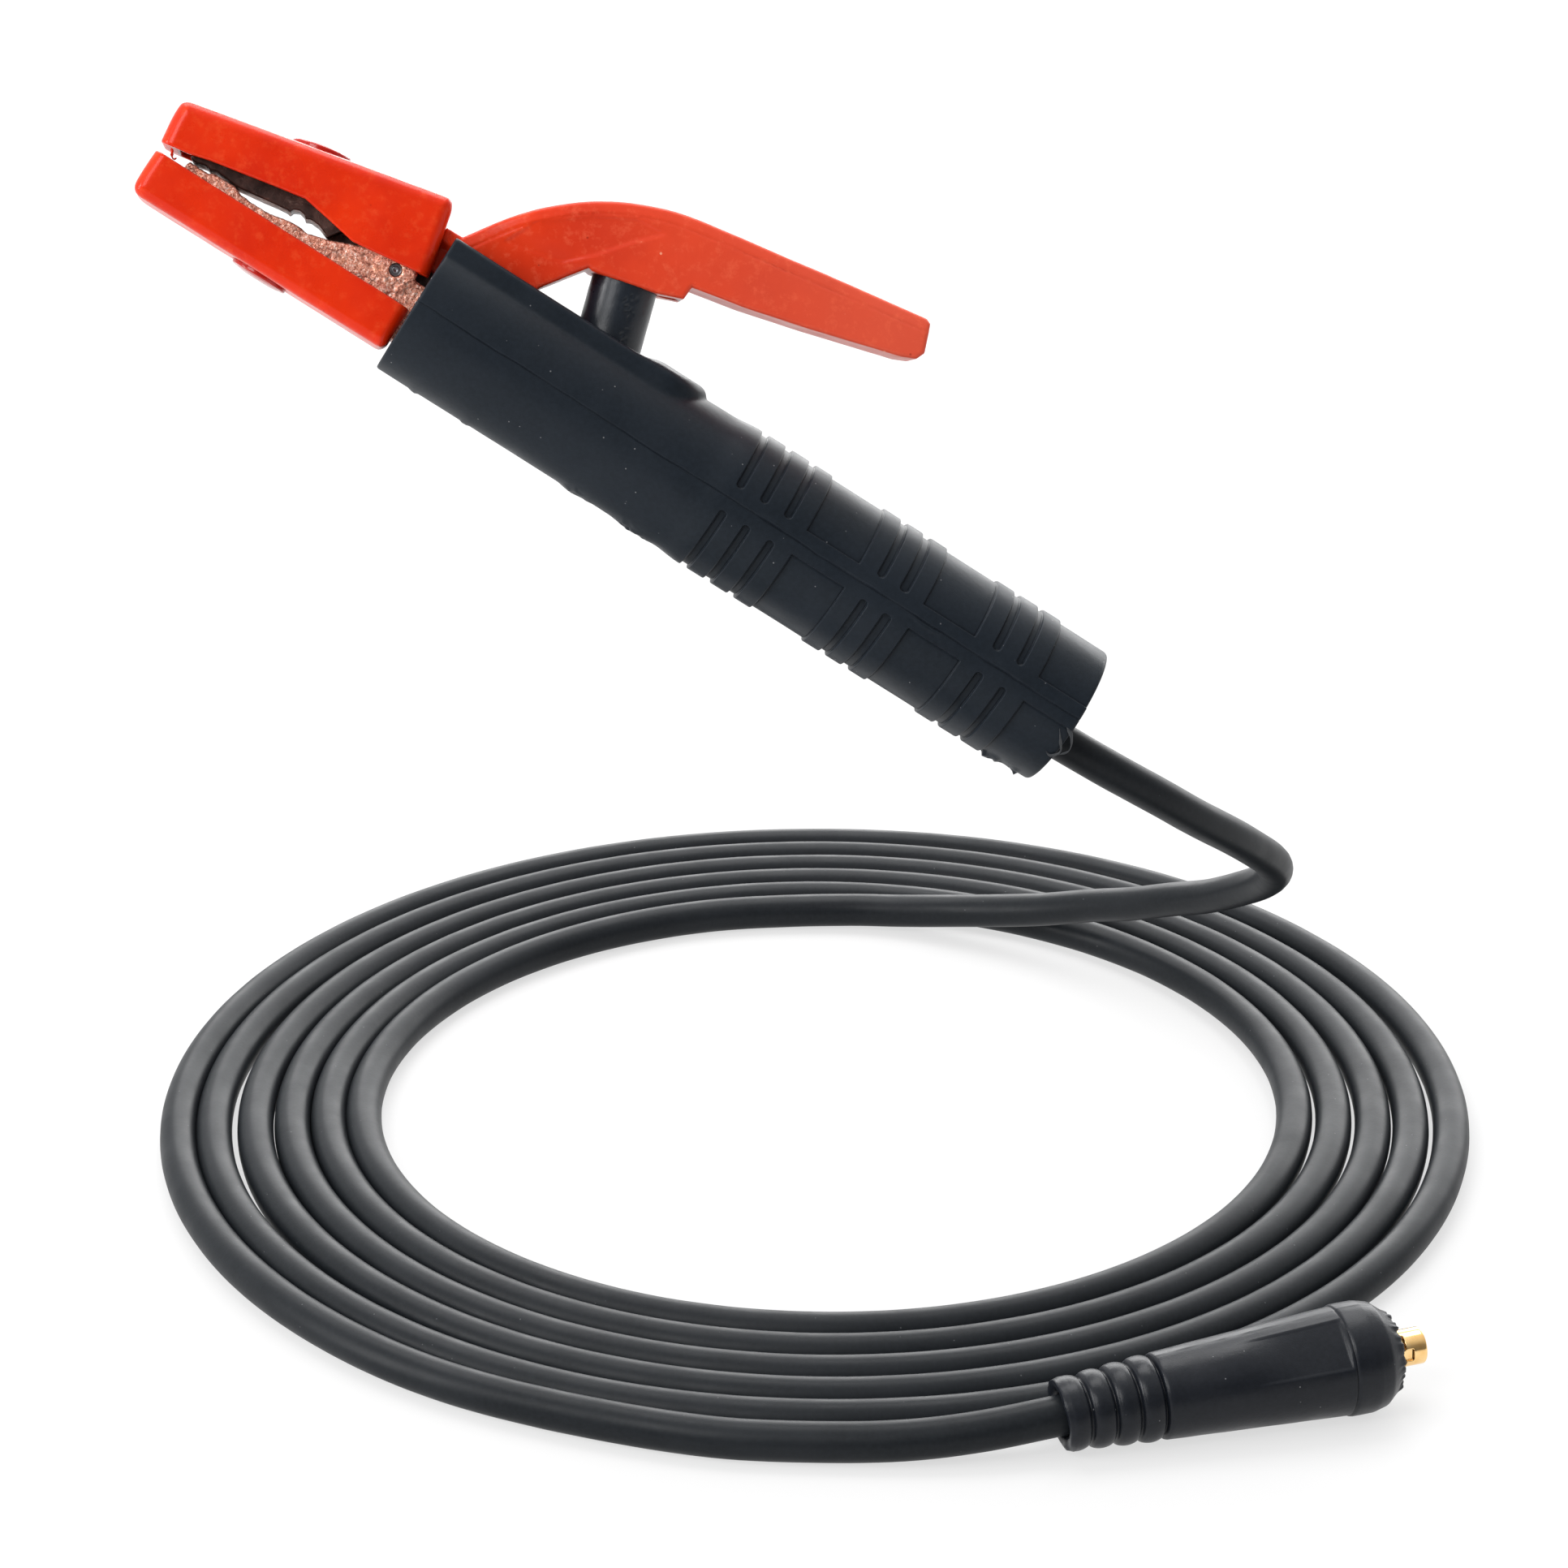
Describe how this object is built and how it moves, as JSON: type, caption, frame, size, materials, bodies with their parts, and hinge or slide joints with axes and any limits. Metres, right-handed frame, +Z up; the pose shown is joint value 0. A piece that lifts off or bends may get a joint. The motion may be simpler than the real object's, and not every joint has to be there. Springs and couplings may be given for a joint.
{
  "type": "welding electrode holder",
  "caption": "Sprung-lever arc-welding electrode holder with insulated jaws and a ribbed round grip, on a coiled welding cable ending in a twist-lock plug.",
  "frame": {"origin": "middle of the hand grip, on the handle's axis, 126 mm behind the handle's front face", "axes": "+X along the holder's length towards the cable end and level, +Y across the holder, away from the side with the plug, +Z up; the handle itself droops about 32 degrees towards the cable, as it is held"},
  "size_m": [0.3574, 0.3632, 0.291],
  "materials": {
    "cast_copper": "rough cast",
    "dark_bronze": "rough cast, darkened",
    "steel": "plain",
    "spring_steel": "drawn wire",
    "insulator_red": "moulded, satin gloss",
    "cap_red": "moulded",
    "lever_red": "moulded, lightly scuffed",
    "sleeve_black": "gloss, pitted",
    "handle_black": "moulded, satin",
    "cable_rubber": "satin",
    "plug_rubber": "moulded, satin",
    "brass": "turned",
    "copper": "bare wire"
  },
  "bodies": {
    "holder": {"jaw_body": "cast_copper", "hinge_pin": "steel", "lower_insulator": "insulator_red", "lower_screw_cap": "cap_red", "lower_insulator_screw": "steel", "spring": "spring_steel", "spring_post": "steel", "handle": "handle_black", "handle_screw": "steel", "cable_clamp_screws": "steel", "cable_ferrule": "copper", "cable_strands": "copper", "cable_inner": "cable_rubber", "cable_lead": "cable_rubber", "cable_coil": "cable_rubber", "cable_tail": "cable_rubber", "plug_boot": "plug_rubber", "plug_pin": "brass", "plug_screw": "steel", "plug_ferrule": "copper", "plug_strands": "copper"},
    "lever_side": {"upper_jaw": "dark_bronze", "upper_insulator": "insulator_red", "upper_screw_cap": "cap_red", "upper_insulator_screw": "steel", "lever": "lever_red", "lever_screw": "steel", "spring_sleeve": "sleeve_black"}
  },
  "joints": [
    {"name": "lever_hinge", "type": "hinge", "parent": "holder", "child": "lever_side", "pos_m": [-0.11197, 0.0123, 0.0756], "axis": [-0.1108, 0.9418, -0.3173], "range_deg": [0, 12], "stiffness_Nm_per_rad": 18, "springref_deg": -20.05, "deforming": ["spring"]}
  ]
}
